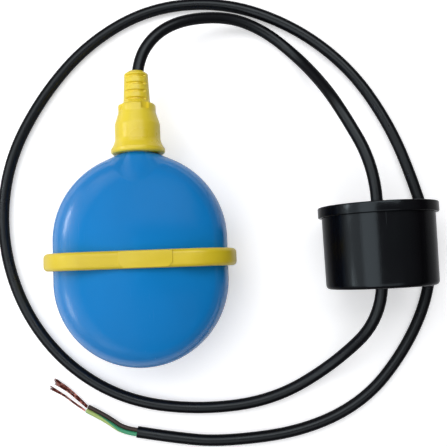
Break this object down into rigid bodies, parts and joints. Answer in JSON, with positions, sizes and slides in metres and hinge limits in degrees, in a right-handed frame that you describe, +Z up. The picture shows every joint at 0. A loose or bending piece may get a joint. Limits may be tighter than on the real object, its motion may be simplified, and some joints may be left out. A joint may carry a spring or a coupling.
{
  "type": "float level switch",
  "caption": "Cable float level switch: hollow blue float with a yellow band and ribbed gland, a ball-operated microswitch inside, a sliding black counterweight and a stripped cable end.",
  "frame": {"origin": "On the surface it rests on, under the middle of the float with its gland.", "axes": "+Z up. +Y along the float from its round end to its cable gland. +X to the right, towards the counterweight."},
  "size_m": [0.2426, 0.2498, 0.0616],
  "materials": {
    "blue_polypropylene": "blow moulded, smooth, soft gloss",
    "yellow_band_plastic": "moulded, satin",
    "yellow_gland_plastic": "moulded, satin with ribs",
    "seal_rubber": "plain black rubber",
    "washer_plastic": "plain white",
    "cartridge_plastic": "plain light grey moulding",
    "polished_steel": "polished ball",
    "switch_plastic": "plain black moulding",
    "plunger_plastic": "plain red moulding",
    "spring_steel": "bright strip",
    "contact_brass": "stamped sheet",
    "bare_copper": "fine bare strands",
    "potting_resin": "cast resin",
    "counterweight_plastic": "moulded, satin black",
    "ballast_iron": "as cast",
    "cable_jacket": "flexible black jacket, soft sheen",
    "core_brown": "core insulation",
    "core_black": "core insulation",
    "core_earth": "green and yellow core insulation"
  },
  "bodies": {
    "float": {"float_shell": "blue_polypropylene", "float_band": "yellow_band_plastic", "gland_cap": "yellow_gland_plastic", "cable_seal": "seal_rubber", "thrust_washer": "washer_plastic", "neck_o_ring": "seal_rubber", "switch_case_lower": "cartridge_plastic", "switch_case_upper": "cartridge_plastic", "microswitch_base": "switch_plastic", "microswitch_cover": "switch_plastic", "lever_pin": "spring_steel", "terminal_common": "contact_brass", "terminal_open": "contact_brass", "terminal_closed": "contact_brass", "contact_blade": "contact_brass", "inner_conductors": "bare_copper", "resin_plug": "potting_resin", "cable": "cable_jacket", "cable_root": "cable_jacket", "inner_core_brown": "core_brown", "inner_core_black": "core_black", "inner_core_earth": "core_earth", "core_brown": "core_brown", "core_black": "core_black", "core_earth": "core_earth", "strands_black": "bare_copper", "strands_brown": "bare_copper", "strands_earth": "bare_copper"},
    "ball": {"steel_ball": "polished_steel"},
    "lever": {"switch_lever": "spring_steel"},
    "plunger": {"switch_plunger": "plunger_plastic"},
    "counterweight": {"counterweight_cup": "counterweight_plastic", "counterweight_lid": "counterweight_plastic", "ballast_ring": "ballast_iron", "cable_grip": "seal_rubber"}
  },
  "joints": [
    {"name": "ball_roll", "type": "slide", "parent": "float", "child": "ball", "axis": [0, 1, 0], "range_m": [0, 0.017]},
    {"name": "lever_hinge", "type": "hinge", "parent": "float", "child": "lever", "pos_m": [0, 0.0057, 0.0292], "axis": [1, 0, 0], "range_deg": [0, 4], "stiffness_Nm_per_rad": 0.0015, "springref_deg": -2.29},
    {"name": "plunger_slide", "type": "slide", "parent": "float", "child": "plunger", "axis": [0, 0, -1], "range_m": [0, 0.0004]},
    {"name": "weight_slide", "type": "slide", "parent": "float", "child": "counterweight", "axis": [0.0162, -0.9999, 0], "range_m": [-0.005, 0.005]}
  ],
  "couplings": [
    {"joint": "plunger_slide", "follows": "lever_hinge", "m_per_rad": 0.005}
  ]
}
